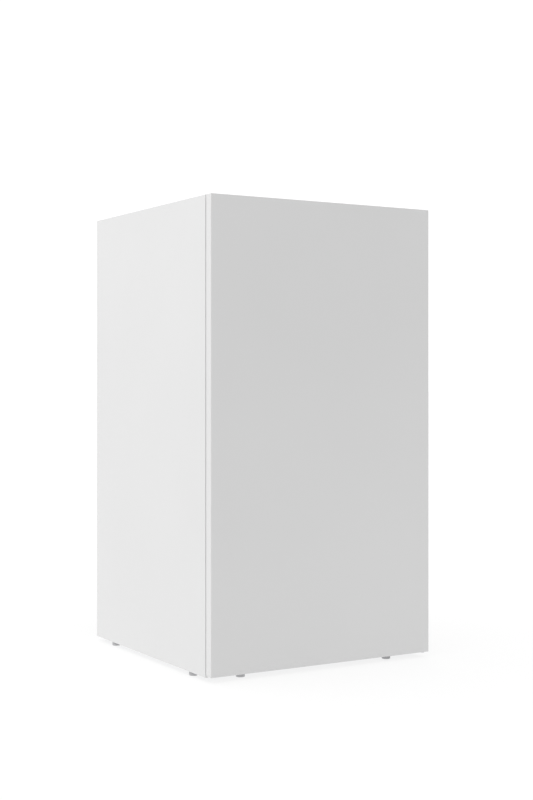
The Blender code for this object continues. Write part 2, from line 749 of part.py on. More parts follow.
def icebox_frame():
    frame = box("icebox_frame", (-190.0, 190.0), (ICE_FRONT - 6.0, ICE_FRONT - GAP), (700.0, 812.0))
    window = rounded_box("cut_frame_window", (-176.0, 176.0), (ICE_FRONT - PAST, ICE_FRONT + PAST),
                         (712.0, FLAP_HIGH - 3.5), 6.0, axis=1)
    cut(frame, window)
    ears = boxes("join_frame_ears", [
        ((179.0, 189.5), (FLAP_Y - 4.0, ICE_FRONT - 5.0), z)
        for z in ((FLAP_LOW - 5.6, FLAP_LOW - 1.3), (FLAP_HIGH + 1.3, FLAP_HIGH + 5.6))
    ])
    join(frame, ears)
    cut(frame, cylinders("cut_frame_bores", [(FLAP_X, FLAP_Y)], 2.3, (690.0, 820.0)))
    return finish(frame, WHITE_PLASTIC)


def icebox_flap():
    axis = (FLAP_X, FLAP_Y, FLAP_LOW)
    flap = rounded_box("icebox_flap", (-186.0, FLAP_X), (FLAP_Y - 3.0, FLAP_Y + 3.0),
                       (FLAP_LOW, FLAP_HIGH), 2.0, axis=2, segments=2, origin=axis)
    knuckle = cylinders("join_flap_knuckle", [(FLAP_X, FLAP_Y)], 3.2, (FLAP_LOW + 0.5, FLAP_HIGH - 0.5),
                        segments=20)
    pins = cylinders("join_flap_pins", [(FLAP_X, FLAP_Y)], 2.0, (FLAP_LOW - 5.0, FLAP_HIGH + 5.0))
    grip = box("join_flap_grip", (-181.0, -153.0), (FLAP_Y - 7.0, FLAP_Y - 2.0), (732.0, 768.0))
    join(flap, knuckle, pins, grip)
    return finish(flap, CLEAR_PLASTIC)


def drip_tray():
    low, rim = DRIP_LEVEL - 18.0, DRIP_LEVEL + GAP
    half, wall = 186.0, 3.0
    front, rear = -105.0, 150.0
    tray = box("drip_tray", (-half, half), (front, rear), (low, rim + wall))
    ledge = box("join_tray_rim", (-198.0, 198.0), (front, rear), (rim, rim + wall))
    join(tray, ledge)
    cut(tray, box("cut_tray_room", (-half + wall, half - wall), (front + wall, rear - wall),
                  (low + 2.0, rim + PAST)))
    return finish(tray, WHITE_PLASTIC)


def thermostat_housing():
    housing = box("thermostat_housing", (HOUSING_FACE, ROOM - GAP), (-60.0, 92.0), (596.0, 662.0))
    pocket = box("cut_housing_pocket", (HOUSING_FACE - PAST, ROOM - 3.0), LAMP_POCKET_Y, LAMP_POCKET_Z)
    bore = cylinders("cut_housing_bore", [(DIAL_Y, DIAL_Z)], SHAFT + 0.4,
                     (HOUSING_FACE - PAST, HOUSING_FACE + 16.0), axis="X")
    cut(housing, pocket, bore)
    return finish(housing, WHITE_PLASTIC)


def thermostat_knob():
    disc_radius, disc_front = 18.0, DIAL_TIP + 4.0
    grip_half_width, grip_half_length = 3.0, 16.0
    knob = cylinders("thermostat_knob", [(DIAL_Y, DIAL_Z)], disc_radius, (disc_front, HOUSING_FACE - 0.4),
                     axis="X", segments=36, origin=(DIAL_TIP, DIAL_Y, DIAL_Z))
    shaft = cylinders("join_knob_shaft", [(DIAL_Y, DIAL_Z)], SHAFT,
                      (HOUSING_FACE - 4.0, HOUSING_FACE + 12.0), axis="X")
    grip = box("join_knob_grip", (DIAL_TIP, disc_front + 2.0),
               (DIAL_Y - grip_half_width, DIAL_Y + grip_half_width),
               (DIAL_Z - grip_half_length, DIAL_Z + grip_half_length))
    join(knob, shaft, grip)
    return finish(knob, WHITE_PLASTIC)


def lamp():
    bulb = turned("lamp", [
        (0.0, 30.0), (6.5, 30.0), (6.5, 14.0), (10.0, 8.0), (12.0, 0.0), (11.5, -8.0),
        (9.0, -15.0), (5.0, -19.0), (0.0, -20.0),
    ], LAMP, axis="Y")
    return finish(bulb, LAMP_GLASS)


def lamp_cover():
    lap = 3.0
    slot_width, slot_pitch = 4.0, 9
    cover = box("lamp_cover", (HOUSING_FACE - lap, HOUSING_FACE - GAP),
                (LAMP_POCKET_Y[0] - lap, LAMP_POCKET_Y[1] + lap),
                (LAMP_POCKET_Z[0] - lap, LAMP_POCKET_Z[1] + lap))
    slots = boxes("cut_cover_slots", [
        ((HOUSING_FACE - PAST, HOUSING_FACE + PAST), (y, y + slot_width),
         (LAMP_POCKET_Z[0] + 5.0, LAMP_POCKET_Z[1] - 5.0))
        for y in range(24, 78, slot_pitch)
    ])
    cut(cover, slots)
    return finish(cover, CLEAR_PLASTIC)


def light_switch():
    front, rear, half = -188.0, -160.0, 10.0
    room = BUTTON + 0.5
    body = box("light_switch_body", (SWITCH_X - half, SWITCH_X + half), (front, rear),
               (SWITCH_Z - 8.0, CEILING - GAP))
    cut(body, box("cut_switch_pocket", (SWITCH_X - room, SWITCH_X + room), (front - PAST, rear - 8.5),
                  (SWITCH_Z - room, SWITCH_Z + room)))
    finish(body, WHITE_PLASTIC)
    tip = PLUG_FACE + GAP
    plunger = box("light_switch_plunger", (SWITCH_X - BUTTON, SWITCH_X + BUTTON), (tip, rear - 10.0),
                  (SWITCH_Z - BUTTON, SWITCH_Z + BUTTON), origin=(SWITCH_X, tip, SWITCH_Z))
    return finish(plunger, GREY_PLASTIC)


def food_compartment():
    shelf("shelf_upper", UPPER_LEVEL)
    shelf("shelf_lower", LOWER_LEVEL)
    crisper_cover()
    crisper_drawer()
    evaporator()
    icebox_frame()
    icebox_flap()
    drip_tray()
    thermostat_housing()
    thermostat_knob()
    lamp()
    lamp_cover()
    light_switch()


# ------------------------------------------------------- machine bay and back

def add_dome(mesh_data, centre, radii):
    place = Matrix.Translation(centre) @ Matrix.Diagonal((*radii, 1.0))
    bmesh.ops.create_uvsphere(mesh_data, u_segments=32, v_segments=12, radius=1.0, matrix=place)


def compressor():
    """An oval pot of two domed halves on a drilled foot plate."""
    x, y = COMPRESSOR
    long_radius, short_radius = 95.0, 70.0
    stretch = Matrix.Diagonal((long_radius, short_radius, 1.0, 1.0))
    mesh_data = bmesh.new()
    bmesh.ops.create_cone(
        mesh_data, cap_ends=True, segments=32, radius1=1.0, radius2=1.0, depth=54.0,
        matrix=Matrix.Translation((x, y, 85.0)) @ stretch)
    pot = from_bmesh("compressor", mesh_data, round_piece=True)
    for name, height, rise in (("crown", 112.0, 38.0), ("bowl", 58.0, 34.0)):
        mesh_data = bmesh.new()
        add_dome(mesh_data, (x, y, height), (long_radius - 0.2, short_radius - 0.2, rise))
        join(pot, from_bmesh(f"join_compressor_{name}", mesh_data, round_piece=True))
    mesh_data = bmesh.new()
    bmesh.ops.create_cone(
        mesh_data, cap_ends=True, segments=32, radius1=1.03, radius2=1.03, depth=4.0,
        matrix=Matrix.Translation((x, y, 100.0)) @ stretch)
    join(pot, from_bmesh("join_compressor_seam", mesh_data, round_piece=True))
    plate = rounded_box("join_compressor_plate", (x - 100.0, x + 100.0), (y - 61.0, y + 61.0),
                        (26.0, 29.0), 10.0, axis=2)
    inlet = cylinders("join_compressor_suction", [(y, SUCTION_PORT)], 6.0, (x + 80.0, x + 100.0),
                      axis="X", segments=16)
    outlet = cylinders("join_compressor_outlet", [(y + PORT_OFFSET, DISCHARGE_PORT)], 5.0,
                       (x + 70.0, x + 92.0), axis="X", segments=16)
    join(pot, plate, inlet, outlet)
    holes = cylinders("cut_compressor_holes", [(gx, gy) for name, gx, gy in GROMMETS], 6.4, (20.0, 31.0),
                      segments=16)
    cut(pot, holes)
    return finish(pot, BLACK_PAINT)


def grommets():
    for name, x, y in GROMMETS:
        spool = turned(name, [
            (0.0, 35.0), (6.0, 35.0), (8.5, 33.0), (8.5, 29.3), (6.0, 29.3), (6.0, 25.7),
            (8.5, 25.7), (8.5, BASE + PAN + GAP), (0.0, BASE + PAN + GAP),
        ], (x, y, 0.0), steps=16)
        finish(spool, BLACK_PLASTIC)


def relay_box():
    case = rounded_box("relay_box", (-80.0, -39.0), (132.0, 184.0), (60.0, 112.0), 4.0, axis=0)
    return finish(case, BLACK_PLASTIC)


def evaporation_tray():
    x, y = COMPRESSOR
    low = 150.5
    high, wall, half = 171.0, 1.5, 72.0
    front, rear = y - 62.0, y + 52.0
    tray = rounded_box("evaporation_tray", (x - half, x + half), (front, rear), (low, high), 12.0, axis=2)
    cut(tray, rounded_box("cut_evaporation_tray", (x - half + wall, x + half - wall),
                          (front + wall, rear - wall), (low + wall, high + PAST), 12.0 - wall, axis=2))
    return finish(tray, BLACK_PLASTIC)


def suction_line():
    x, y = COMPRESSOR
    route = with_bends([
        (x + 100.4, y, SUCTION_PORT), (185.0, y, SUCTION_PORT), (SUCTION_X, COIL_PLANE, 140.0),
        (SUCTION_X, COIL_PLANE, SUCTION_TOP), (SUCTION_X, FOAM_BACK + 1.7, SUCTION_TOP),
    ], 14.0)
    return finish(tube("suction_line", route, 3.5), COPPER)


def discharge_line():
    x, y = COMPRESSOR
    route = with_bends([
        (x + 92.4, y + PORT_OFFSET, DISCHARGE_PORT), (172.0, y + PORT_OFFSET, DISCHARGE_PORT),
        (DISCHARGE_X, COIL_PLANE, 130.0), (DISCHARGE_X, COIL_PLANE, COIL_TOP),
        (COIL_END + 0.4, COIL_PLANE, COIL_TOP),
    ], 10.0)
    return finish(tube("discharge_line", route, COIL_PIPE), COPPER)


def condenser_coil():
    """One pipe, to and fro down the back, and down into the drier."""
    bend_steps = 6
    bend_radius = COIL_PITCH / 2.0
    route = [Vector((COIL_END, COIL_PLANE, COIL_TOP))]
    for number in range(COIL_PASSES - 1):
        middle = COIL_TOP - number * COIL_PITCH - bend_radius
        side = -1.0 if number % 2 == 0 else 1.0
        for step in range(bend_steps + 1):
            turn = math.pi * step / bend_steps
            route.append(Vector((
                side * (COIL_HALF + math.sin(turn) * bend_radius),
                COIL_PLANE,
                middle + math.cos(turn) * bend_radius,
            )))
    tail = with_bends([
        route[-1], (DRIER_X, COIL_PLANE, COIL_LOW), (DRIER_X, COIL_PLANE, DRIER_TOP + 0.4),
    ], 10.0)
    coil = tube("condenser_coil", route + tail[1:], COIL_PIPE)
    return finish(coil, BLACK_PAINT)


def condenser_brackets():
    for side, x in (("left", -120.0), ("right", 120.0)):
        strip = box(f"condenser_bracket_{side}", (x - 8.0, x + 8.0), (221.6, 223.2),
                    (COIL_LOW - 15.0, COIL_TOP + 15.0))
        studs = boxes(f"join_bracket_{side}", [
            ((x - 6.0, x + 6.0), (FOAM_BACK + SKIN + 2.0 * GAP, 222.0), (z - 6.0, z + 6.0))
            for z in (COIL_LOW, COIL_TOP)
        ])
        join(strip, studs)
        finish(strip, BLACK_PAINT)


def filter_drier():
    drier = turned("filter_drier", [
        (0.0, DRIER_TOP), (4.0, DRIER_TOP), (4.0, 195.0), (9.5, 188.0), (9.5, 112.0), (3.0, 102.0),
        (3.0, 95.0), (0.0, 95.0),
    ], (DRIER_X, COIL_PLANE, 0.0), steps=20)
    return finish(drier, COPPER)


def machine_bay():
    compressor()
    grommets()
    relay_box()
    evaporation_tray()
    suction_line()
    discharge_line()
    condenser_coil()
    condenser_brackets()
    filter_drier()


clear_scene()
PIECES = new_collection("mini_fridge")
TOOLS = new_collection("cutters")

cabinet_shell()
inner_liner()
foam_block()
back_panel()
machine_bay_plate()
base_pan()
rear_crossbar()
cable_gland()
feet()
hinges()
door()
food_compartment()
machine_bay()
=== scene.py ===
"""Looks for the mini fridge: materials, fine pieces, light and camera.

The CAD nodes keep their places and shapes: each gets a procedural material, and
rounded edges where the real piece has them. The door seal, the condenser pipe and
the dial knob are replaced by finer pieces, and screw heads, wires, tubes, ribs,
trims and printing are added.
All lengths are metres in the frame: +X right, -Y out of the door, +Z up.
"""
import json
import math

import bmesh
import bpy
from mathutils import Matrix, Vector


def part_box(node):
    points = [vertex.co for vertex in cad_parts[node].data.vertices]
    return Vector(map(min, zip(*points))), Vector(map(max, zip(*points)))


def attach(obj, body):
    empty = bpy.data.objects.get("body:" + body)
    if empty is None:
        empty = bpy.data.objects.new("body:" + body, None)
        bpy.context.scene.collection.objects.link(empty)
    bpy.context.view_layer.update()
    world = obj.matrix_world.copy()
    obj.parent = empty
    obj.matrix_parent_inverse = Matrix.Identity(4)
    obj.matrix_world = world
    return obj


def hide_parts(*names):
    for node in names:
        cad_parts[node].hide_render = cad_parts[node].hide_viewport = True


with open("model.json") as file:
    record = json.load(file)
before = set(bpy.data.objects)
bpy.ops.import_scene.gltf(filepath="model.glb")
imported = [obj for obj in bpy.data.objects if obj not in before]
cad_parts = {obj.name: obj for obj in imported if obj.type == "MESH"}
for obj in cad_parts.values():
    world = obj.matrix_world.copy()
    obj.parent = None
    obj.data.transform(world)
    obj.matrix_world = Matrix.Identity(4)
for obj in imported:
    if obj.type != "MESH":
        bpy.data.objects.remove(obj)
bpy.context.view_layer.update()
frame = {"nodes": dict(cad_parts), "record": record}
NODES = frame["nodes"]
SLOT_OF = {part["node"]: part["material_slot"] for part in frame["record"]["subparts"]}

MM = 0.001
CREASE_ANGLE = math.radians(38.0)   # sharper edges stay crisp, and are bevelled
FACET_ANGLE = math.radians(0.5)     # CAD triangles closer than this are one face
CAD_WELD = 0.000004
CAP_WELD = 0.000001

# The condenser pipe, as in the CAD.
COIL_PITCH = 45.0 * MM
COIL_REACH = 150.0 * MM
COIL_PASSES = 13

PURE_WHITE = (1.0, 1.0, 1.0, 1.0)
PAINT_WHITE = (0.72, 0.72, 0.72)
DUST = (0.20, 0.19, 0.17)
TARNISH = (0.30, 0.15, 0.09)
INK = (0.06, 0.07, 0.09)

FLOOR_COLOUR = (0.24, 0.24, 0.24)
FLOOR_GLOW = 0.78
FLOOR_REACH = 60.0
FLOOR_DROP = 0.2 * MM

# Light from a direction d is SKY_LEVEL + SKY_LEAN . d, and never under SKY_LEAST.
SKY_LEVEL = 0.673
SKY_LEAN = (-0.365, 0.29, 0.56)
SKY_LEAST = 0.05
BACKDROP_STRENGTH = 1.1

CAMERA_PLACE = (-1.378, -2.355, 0.523)
CAMERA_HEADING = math.radians(-30.71)
CAMERA_LENS = 62.46
CAMERA_SENSOR = 36.0
CAMERA_SHIFT_Y = -0.0223
CAMERA_FAR = 200.0


# ------------------------------------------------------------ shader plumbing

def scaled(colour, factor):
    return tuple(channel * factor for channel in colour)


class Surface:
    """A Principled material under construction, with patterns in object space."""

    def __init__(self, name, colour, roughness, metallic=0.0, **extra):
        self.material = bpy.data.materials.new(name)
        self.material.use_nodes = True
        self.tree = self.material.node_tree
        self.shader = self.tree.nodes["Principled BSDF"]
        self.coordinates = self.add("ShaderNodeTexCoord").outputs["Object"]
        self.base = colour
        self.set("Base Color", (*colour, 1.0))
        self.set("Roughness", roughness)
        self.set("Metallic", metallic)
        for socket, value in extra.items():
            self.set(socket.replace("_", " "), value)

    def add(self, kind):
        return self.tree.nodes.new(kind)

    def set(self, socket, value):
        self.shader.inputs[socket].default_value = value

    def wire(self, source, target):
        self.tree.links.new(source, target)

    # Patterns: each returns a socket.

    def noise(self, scale, detail=2.0, stretch=(1.0, 1.0, 1.0)):
        mapping = self.add("ShaderNodeMapping")
        mapping.inputs["Scale"].default_value = stretch
        self.wire(self.coordinates, mapping.inputs["Vector"])
        node = self.add("ShaderNodeTexNoise")
        node.inputs["Scale"].default_value = scale
        node.inputs["Detail"].default_value = detail
        self.wire(mapping.outputs["Vector"], node.inputs["Vector"])
        return node.outputs["Fac"]

    def cells(self, scale, output):
        node = self.add("ShaderNodeTexVoronoi")
        node.inputs["Scale"].default_value = scale
        self.wire(self.coordinates, node.inputs["Vector"])
        return node.outputs[output]

    def facing_up(self):
        """1 on surfaces that look up, where dust settles."""
        geometry = self.add("ShaderNodeNewGeometry")
        split = self.add("ShaderNodeSeparateXYZ")
        self.wire(geometry.outputs["Normal"], split.inputs["Vector"])
        return self.remap(split.outputs["Z"], 0.0, 1.0, 0.2, 0.9)

    def remap(self, value, low, high, start=0.3, end=0.7):
        """Take start..end to low..high; noise seldom leaves 0.3 to 0.7."""
        node = self.add("ShaderNodeMapRange")
        self.wire(value, node.inputs["Value"])
        node.inputs["From Min"].default_value = start
        node.inputs["From Max"].default_value = end
        node.inputs["To Min"].default_value = low
        node.inputs["To Max"].default_value = high
        return node.outputs["Result"]

    def product(self, first, second):
        node = self.add("ShaderNodeMath")
        node.operation = "MULTIPLY"
        self.wire(first, node.inputs[0])
        self.wire(second, node.inputs[1])
        return node.outputs["Value"]

    # What the shader gets.

    def blend(self, factor, first, second):
        """Base colour from first, at factor 0, to second, at factor 1."""
        node = self.add("ShaderNodeMix")
        node.data_type = "RGBA"
        self.wire(factor, node.inputs["Factor"])
        for socket, colour in (("A", first), ("B", second)):
            target = next(i for i in node.inputs if i.name == socket and i.type == "RGBA")
            target.default_value = (*colour, 1.0)
        result = next(o for o in node.outputs if o.type == "RGBA")
        self.wire(result, self.shader.inputs["Base Color"])

    def shades(self, factor, dark, light):
        """Base colour between two shades of itself."""
        self.blend(factor, scaled(self.base, dark), scaled(self.base, light))

    def mottle(self, pattern, dark, light):
        """Shades of the base colour in soft patches."""
        self.shades(self.remap(pattern, 0.0, 1.0), dark, light)

    def gloss(self, pattern, low, high, start=0.3, end=0.7):
        """Roughness from low to high along a pattern."""
        roughness = self.remap(pattern, low, high, start, end)
        self.wire(roughness, self.shader.inputs["Roughness"])

    def bump(self, *layers):
        """Stack bump layers, each (height, strength, distance in metres)."""
        normal = None
        for height, strength, distance in layers:
            node = self.add("ShaderNodeBump")
            node.inputs["Strength"].default_value = strength
            node.inputs["Distance"].default_value = distance
            self.wire(height, node.inputs["Height"])
            if normal is not None:
                self.wire(normal, node.inputs["Normal"])
            normal = node.outputs["Normal"]
        self.wire(normal, self.shader.inputs["Normal"])


# ------------------------------------------------------------------ materials

def painted_steel(name, colour):
    """Baked enamel: orange peel, a faint unevenness of tone and wiped-over gloss."""
    s = Surface(name, colour, 0.34, Coat_Weight=0.25, Coat_Roughness=0.18)
    s.mottle(s.noise(2.2, 3.0), 0.985, 1.012)
    s.gloss(s.noise(7.0, 4.0, stretch=(1.0, 1.0, 0.35)), 0.30, 0.42)
    s.bump((s.noise(260.0, 1.0), 0.10, 0.0002), (s.noise(1500.0, 1.0), 0.05, 0.00005))
    return s.material


def moulded_plastic(name, colour):
    """Formed sheet or moulding: slow sinks and waves under a fine grain."""
    s = Surface(name, colour, 0.36)
    s.mottle(s.noise(6.0, 3.0), 0.96, 1.02)
    s.gloss(s.noise(18.0, 3.0), 0.31, 0.43)
    s.bump((s.noise(28.0, 1.0), 0.12, 0.0006), (s.noise(900.0, 2.0), 0.12, 0.0001))
    return s.material


def clear_plastic(name, colour):
    """Injected polystyrene: see-through, with flow lines and a frost of fine scratches."""
    s = Surface(name, colour, 0.10, Transmission_Weight=0.90, IOR=1.49)
    s.mottle(s.noise(9.0, 2.0), 0.97, 1.02)
    s.gloss(s.noise(60.0, 4.0, stretch=(1.0, 1.0, 0.15)), 0.06, 0.16)
    s.bump((s.noise(16.0, 1.0, stretch=(1.0, 1.0, 0.3)), 0.05, 0.0003))
    return s.material


def shelf_glass(name, colour):
    """Tempered sheet: a slow roller wave, and the smears of being wiped."""
    s = Surface(name, colour, 0.03, Transmission_Weight=0.92, IOR=1.52)
    s.mottle(s.noise(12.0, 2.0), 0.97, 1.03)
    s.gloss(s.noise(14.0, 5.0), 0.02, 0.10)
    s.bump((s.noise(10.0, 1.0), 0.04, 0.0004))
    return s.material


def zinc_sheet(name, colour):
    """Hot-dip zinc: a mosaic of spangles, each with its own tone and gloss."""
    s = Surface(name, colour, 0.42, 1.0)
    spangle_scale = 130.0
    spangle = s.add("ShaderNodeSeparateColor")
    s.wire(s.cells(spangle_scale, "Color"), spangle.inputs["Color"])
    s.shades(spangle.outputs["Red"], 0.90, 1.10)
    s.gloss(spangle.outputs["Green"], 0.36, 0.50, 0.0, 1.0)
    s.bump((s.noise(240.0, 3.0), 0.12, 0.0001),
           (s.cells(spangle_scale, "Distance"), 0.06, 0.0002))
    return s.material


def rolled_aluminium(name, colour):
    """Roll-bonded sheet: brushed along its length, with a dull oxide bloom."""
    s = Surface(name, colour, 0.34, 1.0)
    brushed = s.noise(90.0, 5.0, stretch=(0.08, 6.0, 6.0))
    s.mottle(s.noise(11.0, 4.0), 0.88, 1.05)
    s.gloss(brushed, 0.26, 0.46)
    s.bump((brushed, 0.10, 0.0001), (s.noise(40.0, 2.0), 0.06, 0.0003))
    return s.material


def copper_pipe(name, colour):
    """Drawn copper, browned where it was brazed and handled."""
    s = Surface(name, colour, 0.34, 1.0)
    s.blend(s.remap(s.noise(26.0, 5.0), 0.0, 1.0, 0.42, 0.66), colour, TARNISH)
    s.gloss(s.noise(30.0, 4.0), 0.26, 0.52)
    s.bump((s.noise(500.0, 2.0), 0.06, 0.0001))
    return s.material


def black_enamel(name, colour):
    """Thick black dip paint with runs in it and dust on what faces up."""
    s = Surface(name, colour, 0.32, Coat_Weight=0.3, Coat_Roughness=0.2)
    patches = s.remap(s.noise(45.0, 5.0), 0.0, 0.30, 0.35, 0.75)
    s.blend(s.product(s.facing_up(), patches), colour, DUST)
    s.gloss(s.noise(35.0, 4.0), 0.26, 0.50)
    s.bump((s.noise(120.0, 2.0), 0.16, 0.0003), (s.noise(700.0, 1.0), 0.06, 0.0001))
    return s.material


def spark_eroded_plastic(name, colour, roughness):
    """Matte moulding with an eroded grain."""
    s = Surface(name, colour, roughness)
    s.mottle(s.noise(30.0, 4.0), 0.88, 1.10)
    s.gloss(s.noise(50.0, 3.0), roughness - 0.07, roughness + 0.12)
    s.bump((s.cells(1400.0, "Distance"), 0.20, 0.0001), (s.noise(300.0, 2.0), 0.08, 0.0002))
    return s.material


def seal_rubber(name, colour):
    """Soft extrusion: fine bloom over slow ripples."""
    s = Surface(name, colour, 0.62, Sheen_Weight=0.08)
    s.mottle(s.noise(24.0, 4.0), 0.90, 1.04)
    s.gloss(s.noise(40.0, 3.0), 0.54, 0.74)
    s.bump((s.noise(1100.0, 2.0), 0.15, 0.0001), (s.noise(18.0, 1.0), 0.08, 0.0006))
    return s.material


def rigid_foam(name, colour):
    """Poured foam: cells in a lumpy skin."""
    s = Surface(name, colour, 0.9)
    s.mottle(s.noise(20.0, 4.0), 0.82, 1.05)
    s.bump((s.cells(420.0, "Distance"), 0.5, 0.0008), (s.noise(60.0, 3.0), 0.3, 0.002))
    return s.material


def lamp_glass(name, colour):
    """Blown bulb, a little frosted."""
    s = Surface(name, colour, 0.08, Transmission_Weight=0.85, IOR=1.5)
    s.mottle(s.noise(60.0, 2.0), 0.94, 1.0)
    s.gloss(s.noise(80.0, 3.0), 0.05, 0.16)
    return s.material


def dial_print(name, colour):
    """Pad-printed ink, thinner in places."""
    s = Surface(name, colour, 0.5)
    s.mottle(s.noise(300.0, 3.0), 1.0, 1.6)
    s.bump((s.noise(1500.0, 1.0), 0.1, 0.0001))
    return s.material


MATERIALS = {
    "white_paint": painted_steel("white_paint_look", PAINT_WHITE),
    "white_plastic": moulded_plastic("white_plastic_look", (0.73, 0.73, 0.72)),
    "clear_plastic": clear_plastic("clear_plastic_look", (0.93, 0.96, 0.97)),
    "shelf_glass": shelf_glass("shelf_glass_look", (0.86, 0.95, 0.92)),
    "lamp_glass": lamp_glass("lamp_glass_look", (0.95, 0.94, 0.90)),
    "zinc_sheet": zinc_sheet("zinc_look", (0.58, 0.59, 0.61)),
    "evaporator_aluminium": rolled_aluminium("aluminium_look", (0.74, 0.75, 0.76)),
    "copper_pipe": copper_pipe("copper_look", (0.72, 0.37, 0.22)),
    "black_paint": black_enamel("black_paint_look", (0.018, 0.018, 0.020)),
    "black_iron": black_enamel("compressor_look", (0.016, 0.016, 0.018)),
    "black_plastic": spark_eroded_plastic("black_plastic_look", (0.025, 0.025, 0.026), 0.55),
    "grey_foot_plastic": spark_eroded_plastic("foot_look", (0.47, 0.47, 0.48), 0.50),
    "gasket_rubber": seal_rubber("seal_look", (0.72, 0.72, 0.71)),
    "insulation_foam": rigid_foam("foam_look", (0.78, 0.68, 0.44)),
}
DIAL_PRINT = dial_print("dial_print_look", INK)


# -------------------------------------------------- rounded edges and CAD nodes

def softening_group():
    """Geometry nodes that weld a CAD mesh and shade it smooth up to CREASE_ANGLE."""
    group = bpy.data.node_groups.new("soften", "GeometryNodeTree")
    for way in ("INPUT", "OUTPUT"):
        group.interface.new_socket("Geometry", in_out=way, socket_type="NodeSocketGeometry")
    add = group.nodes.new
    wire = group.links.new
    start = add("NodeGroupInput")
    end = add("NodeGroupOutput")
    plain = add("GeometryNodeRemoveAttribute")
    plain.inputs["Name"].default_value = "custom_normal"
    weld = add("GeometryNodeMergeByDistance")
    weld.inputs["Distance"].default_value = CAD_WELD
    smooth = add("GeometryNodeSetShadeSmooth")
    crease = add("GeometryNodeSetShadeSmooth")
    crease.domain = "EDGE"
    crease.inputs["Shade Smooth"].default_value = False
    angle = add("GeometryNodeInputMeshEdgeAngle")
    wide = add("FunctionNodeCompare")
    wide.operation = "GREATER_THAN"
    wide.inputs["B"].default_value = CREASE_ANGLE
    wire(start.outputs[0], plain.inputs["Geometry"])
    wire(plain.outputs[0], weld.inputs["Geometry"])
    wire(weld.outputs[0], smooth.inputs["Geometry"])
    wire(smooth.outputs[0], crease.inputs["Geometry"])
    wire(angle.outputs["Unsigned Angle"], wide.inputs["A"])
    wire(wide.outputs[0], crease.inputs["Selection"])
    wire(crease.outputs[0], end.inputs[0])
    return group


SOFTEN = softening_group()

# Edge widths of the CAD nodes, in millimetres. Round pieces aren't listed.
BEVELS = {
    "cabinet_shell": 0.2, "door_panel": 0.2, "door_top_cap": 0.5, "door_bottom_cap": 0.5,
    "door_liner": 1.0, "inner_liner": 0.7, "base_pan": 0.4, "back_panel": 0.3,
    "rear_crossbar": 0.6, "machine_bay_plate": 0.3, "top_hinge": 0.4, "bottom_hinge": 0.4,
    "shelf_upper": 0.6, "shelf_lower": 0.6, "crisper_cover": 0.6, "shelf_upper_trim": 0.9,
    "shelf_lower_trim": 0.9, "crisper_drawer": 0.8, "rack_bottle": 0.6, "rack_middle": 0.6,
    "rack_top": 0.6, "evaporator": 0.5, "icebox_frame": 1.0, "icebox_flap": 0.8,
    "drip_tray": 0.8, "thermostat_housing": 2.2, "lamp_cover": 0.6, "light_switch_body": 1.0,
    "light_switch_plunger": 0.8, "relay_box": 1.6, "evaporation_tray": 0.5,
    "condenser_bracket_left": 0.4, "condenser_bracket_right": 0.4,
}


def round_edges(obj, width, segments=2):
    """Bevel the sharp edges by width millimetres, and keep flat faces flat."""
    bevel = obj.modifiers.new("Edges", "BEVEL")
    bevel.width = width * MM
    bevel.segments = segments
    bevel.limit_method = "ANGLE"
    bevel.angle_limit = CREASE_ANGLE
    even = obj.modifiers.new("Even", "WEIGHTED_NORMAL")
    even.keep_sharp = True


def dress(node):
    """Give a CAD node its material and its edges."""
    obj = NODES[node]
    for slot in obj.material_slots:
        slot.material = MATERIALS[SLOT_OF[node]]
    obj.modifiers.new("Soften", "NODES").node_group = SOFTEN
    if node in BEVELS:
        flatten = obj.modifiers.new("Flatten", "DECIMATE")
        flatten.decimate_type = "DISSOLVE"
        flatten.angle_limit = FACET_ANGLE
        round_edges(obj, BEVELS[node])


for node_name in NODES:
    dress(node_name)


# ---------------------------------------------------------- helpers for pieces

def mesh_piece(name, mesh_data, body, slot, material=None, smooth=True):
    """Make a piece of a bmesh; its material is the slot's unless another is given."""
    bmesh.ops.recalc_face_normals(mesh_data, faces=mesh_data.faces)
    mesh = bpy.data.meshes.new(name)
    mesh_data.to_mesh(mesh)
    mesh_data.free()
    if smooth:
        mesh.shade_smooth()
        mesh.set_sharp_from_angle(angle=CREASE_ANGLE)
    obj = bpy.data.objects.new(name, mesh)
    bpy.context.scene.collection.objects.link(obj)
    mesh.materials.append(material or MATERIALS[slot])
    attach(obj, body)
    return obj


def add_block(mesh_data, low, high):
    low, high = Vector(low), Vector(high)
    place = Matrix.Translation((low + high) / 2.0) @ Matrix.Diagonal((*(high - low), 1.0))
    return bmesh.ops.create_cube(mesh_data, size=1.0, matrix=place)["verts"]


def skin_rings(mesh_data, rings):
    """Faces between rings of vertices; a ring of one vertex closes to a point."""
    steps = max(len(ring) for ring in rings)
    for upper, lower in zip(rings, rings[1:]):
        for step in range(steps):
            after = (step + 1) % steps
            if len(upper) == 1:
                mesh_data.faces.new((upper[0], lower[step], lower[after]))
            elif len(lower) == 1:
                mesh_data.faces.new((upper[step], lower[0], upper[after]))
            else:
                mesh_data.faces.new((upper[step], lower[step], lower[after], upper[after]))


def lathe(mesh_data, profile, place, steps=32, cut=None):
    """Turn (radius, height) points round the local Z axis of a placing matrix.

    cut(radius, angle) gives what a flute takes off the radius there.
    """
    rings = []
    for radius, height in profile:
        ring = []
        for step in range(steps if radius else 1):
            angle = math.tau * step / steps
            reach = radius - cut(radius, angle) if cut else radius
            point = (reach * math.cos(angle), reach * math.sin(angle), height)
            ring.append(mesh_data.verts.new(place @ Vector(point)))
        rings.append(ring)
    skin_rings(mesh_data, rings)
    return rings


